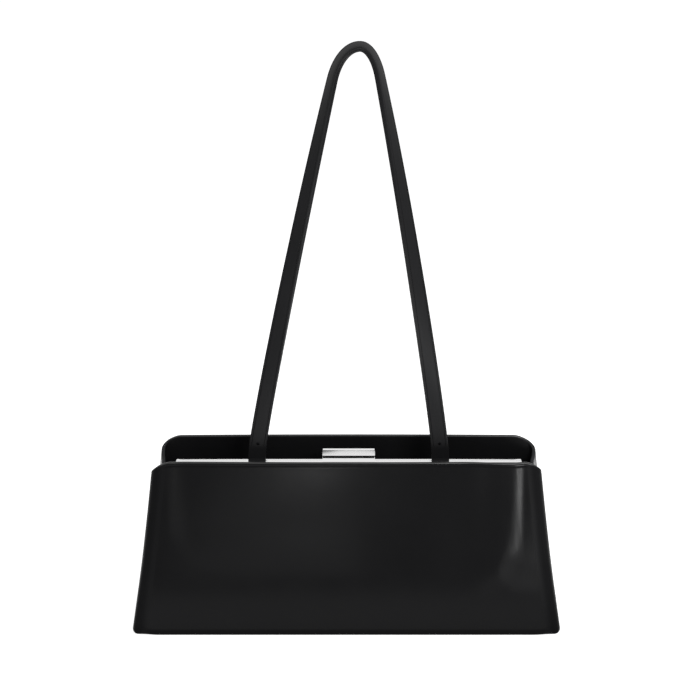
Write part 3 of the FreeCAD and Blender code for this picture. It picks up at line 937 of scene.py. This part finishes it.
def strap_half(strap, side):
    """Middle line of one half of the strap, from its end up the arm and over to the crown."""
    reach, lean = (strap.arch_left, strap.left_lean) if side < 0 else (strap.arch_right, strap.right_lean)
    centre = Vector((strap.arch_offset, LOOP.y, strap.crown - strap.thickness / 2 - strap.arch_rise))
    first = math.atan2(math.tan(lean) * strap.arch_rise, reach)
    arch = []
    for step in range(ARCH_STEPS + 1):
        turn = first + (math.pi / 2 - first) * step / ARCH_STEPS
        arch.append(centre + Vector((side * reach * math.cos(turn), 0, strap.arch_rise * math.sin(turn))))
    heading = Vector((-side * math.sin(lean), 0, math.cos(lean)))
    slant = Vector((-side * strap.end_slant, 0, 1))
    foot_x = side * strap.span / 2 + end_lean(strap, side, strap.tab_height)
    foot = Vector((foot_x, LOOP.y, LOOP.z + strap.tab_height))
    arm = interpolate_bezier(
        foot, foot + slant * strap.foot_handle, arch[0] - heading * strap.arch_handle, arch[0], ARM_POINTS)
    return list(arm[:-1]) + arch


def band_outline(width, thickness, radius, crown):
    """Outline across a band with a groove where its layers meet; a crowned face has two creased lines."""
    wide = width / 2
    thick = thickness / 2
    corners = ((1, 1, 0), (-1, 1, 90), (-1, -1, 180), (1, -1, 270))
    outline = []
    for at, (side, face, first) in enumerate(corners):
        for step in range(4):
            turn = math.radians(first + 30 * step)
            x = side * (wide - radius) + radius * math.cos(turn)
            outline.append((x, face * (thick - radius) + radius * math.sin(turn)))
        if at % 2 == 0:
            for part in FACE_POINTS:
                crease = CREASE_DEPTH if crown and abs(part) == CREASE_PLACE else 0.0
                height = thick + crown * (1 - part ** 2) - crease
                outline.append((face * part * (wide - radius), face * height))
        else:
            outline.append((side * wide, face * SEAM_HALF))
            outline.append((side * (wide - SEAM_DEPTH), 0.0))
            outline.append((side * wide, -face * SEAM_HALF))
    return outline


def strap_rings(strap, side):
    """Sections of one half of the strap: it faces forwards at its end and mostly outwards at the crown."""
    places = strap_half(strap, side)
    walked = [0.0]
    for before, after in zip(places, places[1:]):
        walked.append(walked[-1] + (after - before).length)
    rings = []
    for at, (place, way) in enumerate(zip(places, walked)):
        if at == len(places) - 1:
            heading = Vector((1, 0, 0))
        else:
            heading = (places[at + 1] - places[max(at - 1, 0)]).normalized() * -side
            heading = Vector((0, 0, -side)).lerp(heading, ease(way / (2 * strap.flat))).normalized()
        turned = max(way - strap.flat, 0) / (walked[-1] - strap.flat)
        twist = strap.twist * turned ** TWIST_POWER
        width = strap.width + (strap.waist - strap.width) * min(2 * way / walked[-1], 1)
        outward = Vector((-heading.z, 0, heading.x))
        face = outward * math.sin(twist) + Vector((0, -math.cos(twist), 0))
        across = outward * math.cos(twist) + Vector((0, math.sin(twist), 0))
        outline = band_outline(width, strap.thickness, strap.edge_radius, BAND_CROWN)
        rings.append([place + across * a + face * f for a, f in outline])
    return rings


def make_strap(strap):
    """Two-layer strap whose ends fold round the loop bars."""
    rings = strap_rings(strap, -1) + strap_rings(strap, 1)[-2::-1]
    pieces = [loft("strap_band", rings, False)]
    layer = strap.thickness / 2
    outline = band_outline(strap.width, layer, strap.edge_radius, 0.0)
    # Middle line of an end, from above the loop's bar: down the front, round the bar and up the back
    line = []
    for step in range(TAB_STEPS):
        share = step / TAB_STEPS
        line.append((-layer / 2, strap.tab_height * (1 - share) + EYE_TOP * share))
    for step in range(EYE_STEPS + 1):
        turn = math.pi * 1.5 - EYE_TURN / 2 + EYE_TURN * step / EYE_STEPS
        line.append((strap.eye_radius * math.cos(turn), strap.eye_radius * math.sin(turn)))
    line += [(-y, z) for y, z in reversed(line[:TAB_STEPS])]
    for side in (-1, 1):
        rings = []
        for at, (y, z) in enumerate(line):
            before = line[max(at - 1, 0)]
            after = line[min(at + 1, len(line) - 1)]
            heading = Vector((0, after[0] - before[0], after[1] - before[1])).normalized()
            face = Vector((0, heading.z, -heading.y))
            place = Vector((side * strap.span / 2 + end_lean(strap, side, z), LOOP.y + y, LOOP.z + z))
            rings.append([place + Vector((a, 0, 0)) + face * f for a, f in outline])
        pieces.append(loft("strap_fold", rings, False))
    return join(pieces, "shoulder_strap_leather")


class BAG_OT_strap(bpy.types.Operator):
    """Lofts the twisted shoulder strap and folds its ends round the loop bars"""

    bl_idname = "bag.strap"
    bl_label = "Shoulder strap"

    def execute(self, context):
        piece = make_strap(context.scene.bag_strap)
        dress(piece, strap_calf())
        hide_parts("shoulder_strap")
        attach(piece, "strap")
        return {"FINISHED"}


def make_rivets(strap):
    """Two rivets through the folded ends, each with a domed head on both faces."""
    place = Vector((strap.span / 2, (RIVET_LOW.y + RIVET_HIGH.y) / 2, (RIVET_LOW.z + RIVET_HIGH.z) / 2))
    place.x += end_lean(strap, 1, place.z - LOOP.z)
    rivets = []
    for side in (-1, 1):
        bpy.ops.object.select_all(action="DESELECT")
        bpy.ops.mesh.primitive_cylinder_add(
            vertices=RIVET_SIDES, radius=strap.rivet_radius, depth=strap.thickness + 2 * strap.rivet_rise,
            location=(side * place.x, place.y, place.z), rotation=(math.pi / 2, 0, 0))
        rivet = bpy.context.object
        bpy.ops.object.transform_apply(location=True, rotation=True, scale=True)
        add_modifier(
            rivet, "BEVEL", width=strap.rivet_rise * DOME_SHARE, segments=5, limit_method="ANGLE",
            angle_limit=BEVEL_ANGLE)
        smooth_outwards(rivet)
        rivets.append(rivet)
    return join(rivets, "strap_rivet_heads")


class BAG_OT_rivets(bpy.types.Operator):
    """Sets the strap's two rivets"""

    bl_idname = "bag.rivets"
    bl_label = "Strap rivets"

    def execute(self, context):
        piece = make_rivets(context.scene.bag_strap)
        dress(piece, blackened_steel())
        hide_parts("strap_rivets")
        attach(piece, "strap")
        return {"FINISHED"}


# Metalwork

class BAG_OT_metalwork(bpy.types.Operator):
    """Gives the frame, its rivets, the clasp and the strap loops their finishes"""

    bl_idname = "bag.metalwork"
    bl_label = "Frame and clasp"

    def execute(self, context):
        bright = ("front_frame", "rear_frame", "frame_rivets", "clasp_base", "clasp_pin", "clasp_catch",
                  "clasp_lever", "left_strap_loop", "right_strap_loop")
        for node in bright:
            dress_node(node, polished_nickel())
        dress_node("clasp_magnet", plated_magnet())
        return {"FINISHED"}


# Stage

SWEEP_GLOW = 0.80  # glow that lifts the lit paper to white for the camera
MIRRORED_GLOW = 0.50  # the same for mirrors
ROOM_LIGHT = 0.30  # strength with which the white room lights the bag
CARD_AIM = 5.0  # height of the point that a card by the floor is turned to
STRIP_LEAN = (-0.088, 0.18)  # turns the strips, so that their streak stands upright on the front panel
LEVEL = (0.0, 0.0)  # leaves a card level
# Cards by the floor, which the polished leather mirrors: name, place, lean of the aim, size and power
FLOOR_CARDS = (
    ("low_card", (-0.032, -0.57, 0.02), (-0.02, 0.20), (0.055, 0.28), 0.85),
    ("near_strip", (0.2284, -0.255, 0.02), STRIP_LEAN, (0.045, 0.24), 0.66),
    ("far_strip", (0.3230, -0.4485, 0.02), STRIP_LEAN, (0.045, 0.19), 1.10),
    ("near_flank", (0.1924, -0.2730, 0.02), STRIP_LEAN, (0.035, 0.24), 0.11),
    ("far_flank", (0.2870, -0.4665, 0.02), STRIP_LEAN, (0.035, 0.19), 0.13),
    ("corner_card", (0.130, -0.108, 0.02), LEVEL, (0.026, 0.05), 0.010),
    ("left_wash", (-0.0625, -0.335, 0.002), LEVEL, (0.145, 0.29), 0.17),
    ("front_fill", (0.0, -0.090, 0.002), LEVEL, (0.44, 0.09), 0.16),
    ("rear_wash", (0.0, 0.32, 0.002), LEVEL, (0.26, 0.30), 0.55),
    ("rear_fill", (0.0, 0.090, 0.002), LEVEL, (0.44, 0.09), 0.10),
    ("left_end_wash", (-0.42, -0.02, 0.002), LEVEL, (0.30, 0.20), 0.80),
    ("right_end_wash", (0.42, -0.02, 0.002), LEVEL, (0.30, 0.20), 0.80),
)


def white_stage(stage):
    """Pale studio sweep: it takes the bag's shadow, and the eye and mirrors see it as white."""
    material, tree, place = new_material("white_sweep")
    # Paper's cloudiness, about 0.3 m wide, too faint to see as a pattern
    cloud = add_node(tree, "ShaderNodeTexNoise", {"Vector": place, "Scale": 3.0})
    tone = add_node(
        tree, "ShaderNodeMix",
        {0: cloud.outputs["Fac"], 6: shade(stage.floor, 0.80), 7: shade(stage.floor, 0.82)}, data_type="RGBA")
    paper = add_node(tree, "ShaderNodeBsdfDiffuse", {"Color": tone.outputs[2]})
    path = add_node(tree, "ShaderNodeLightPath")
    mirrored = add_node(
        tree, "ShaderNodeMath", {0: path.outputs["Is Glossy Ray"], 1: path.outputs["Is Transmission Ray"]},
        operation="MAXIMUM")
    mirrored = add_node(
        tree, "ShaderNodeMath", {0: mirrored.outputs["Value"], 1: MIRRORED_GLOW}, operation="MULTIPLY")
    seen = add_node(
        tree, "ShaderNodeMath",
        {0: path.outputs["Is Camera Ray"], 1: SWEEP_GLOW, 2: mirrored.outputs["Value"]},
        operation="MULTIPLY_ADD")
    glow = add_node(tree, "ShaderNodeEmission", {"Color": stage.floor, "Strength": seen.outputs["Value"]})
    both = add_node(tree, "ShaderNodeAddShader", {0: paper.outputs["BSDF"], 1: glow.outputs["Emission"]})
    add_node(tree, "ShaderNodeOutputMaterial", {"Surface": both.outputs["Shader"]})
    return material


def light_world(stage):
    """Even white room: soft light on the bag, plain white to the eye and in mirrors."""
    world = bpy.data.worlds.new("white_room")
    bpy.context.scene.world = world
    world.use_nodes = True
    tree = world.node_tree
    tree.nodes.clear()
    path = add_node(tree, "ShaderNodeLightPath")
    seen = add_node(
        tree, "ShaderNodeMath", {0: path.outputs["Is Camera Ray"], 1: path.outputs["Is Glossy Ray"]},
        operation="MAXIMUM")
    seen = add_node(
        tree, "ShaderNodeMath", {0: seen.outputs["Value"], 1: path.outputs["Is Transmission Ray"]},
        operation="MAXIMUM")
    strength = add_node(
        tree, "ShaderNodeMapRange", {"Value": seen.outputs["Value"], "To Min": ROOM_LIGHT, "To Max": 1.0})
    room = add_node(
        tree, "ShaderNodeBackground", {"Color": stage.floor, "Strength": strength.outputs["Result"]})
    add_node(tree, "ShaderNodeOutputWorld", {"Surface": room.outputs["Background"]})


def soft_box(name, place, aim, size, power, mirrored=True):
    """A rectangular soft light at a place, turned to the point it lights, and not seen by the camera."""
    lamp = bpy.data.lights.new(name, "AREA")
    lamp.shape = "RECTANGLE"
    lamp.size, lamp.size_y = size
    lamp.energy = power
    light = bpy.data.objects.new(name, lamp)
    light.location = place
    light.rotation_euler = (Vector(aim) - Vector(place)).to_track_quat("-Z", "Y").to_euler()
    light.visible_camera = False
    light.visible_glossy = mirrored
    bpy.context.collection.objects.link(light)


class BAG_OT_stage(bpy.types.Operator):
    """Sets the floor, the lights and the camera"""

    bl_idname = "bag.stage"
    bl_label = "Stage"

    def execute(self, context):
        stage = context.scene.bag_stage
        bpy.ops.object.select_all(action="DESELECT")
        bpy.ops.mesh.primitive_grid_add(x_subdivisions=4, y_subdivisions=4, size=stage.floor_size)
        floor = context.object
        floor.name = "floor"
        dress(floor, white_stage(stage))
        light_world(stage)
        soft_box("overhead_box", (0.0, -0.2, 1.7), (0.0, 0.0, 0.1), (2.2, 1.8), 10.8, mirrored=False)
        soft_box("front_box", (0.5, -1.2, 0.9), (0.0, 0.0, 0.12), (0.6, 0.6), 12.0)
        for name, place, lean, size, power in FLOOR_CARDS:
            soft_box(name, place, (place[0] + lean[0], place[1] + lean[1], CARD_AIM), size, power)
        camera = bpy.data.objects.new("camera", bpy.data.cameras.new("camera"))
        context.collection.objects.link(camera)
        camera.location = stage.camera_place
        camera.rotation_euler = (math.pi / 2 - stage.camera_pitch, 0, 0)
        camera.data.sensor_width = 36
        camera.data.lens = stage.lens
        context.scene.camera = camera
        context.scene.view_settings.view_transform = "Standard"
        return {"FINISHED"}


# Add-on

class BAG_PT_panel(bpy.types.Panel):
    """Lists the steps that dress the bag, with their sizes and colours"""

    bl_idname = "BAG_PT_panel"
    bl_label = "Baguette bag"
    bl_space_type = "VIEW_3D"
    bl_region_type = "UI"
    bl_category = "Baguette bag"

    def draw(self, context):
        for step in STEPS:
            self.layout.operator(step.bl_idname)
        for group in SETTINGS:
            settings = getattr(context.scene, group)
            column = self.layout.column()
            for name in settings.bl_rna.properties.keys():
                if name not in ("rna_type", "name"):
                    column.prop(settings, name)


SETTINGS = {"bag_body": BodySettings, "bag_strap": StrapSettings, "bag_metal": MetalSettings,
            "bag_stage": StageSettings}
STEPS = (BAG_OT_stage, BAG_OT_body, BAG_OT_base, BAG_OT_lining, BAG_OT_pouch, BAG_OT_strap, BAG_OT_rivets,
         BAG_OT_metalwork)


def register():
    """Adds the settings to every scene, and the steps and the panel to Blender."""
    for name, settings in SETTINGS.items():
        bpy.utils.register_class(settings)
        setattr(bpy.types.Scene, name, bpy.props.PointerProperty(type=settings))
    for step in STEPS:
        bpy.utils.register_class(step)
    bpy.utils.register_class(BAG_PT_panel)


def unregister():
    """Takes them out again."""
    bpy.utils.unregister_class(BAG_PT_panel)
    for step in reversed(STEPS):
        bpy.utils.unregister_class(step)
    for name, settings in SETTINGS.items():
        delattr(bpy.types.Scene, name)
        bpy.utils.unregister_class(settings)


def main():
    """Dresses the bag step by step."""
    register()
    bpy.ops.bag.stage()
    bpy.ops.bag.body()
    bpy.ops.bag.base()
    bpy.ops.bag.lining()
    bpy.ops.bag.pouch()
    bpy.ops.bag.strap()
    bpy.ops.bag.rivets()
    bpy.ops.bag.metalwork()


if __name__ == "__main__":
    main()
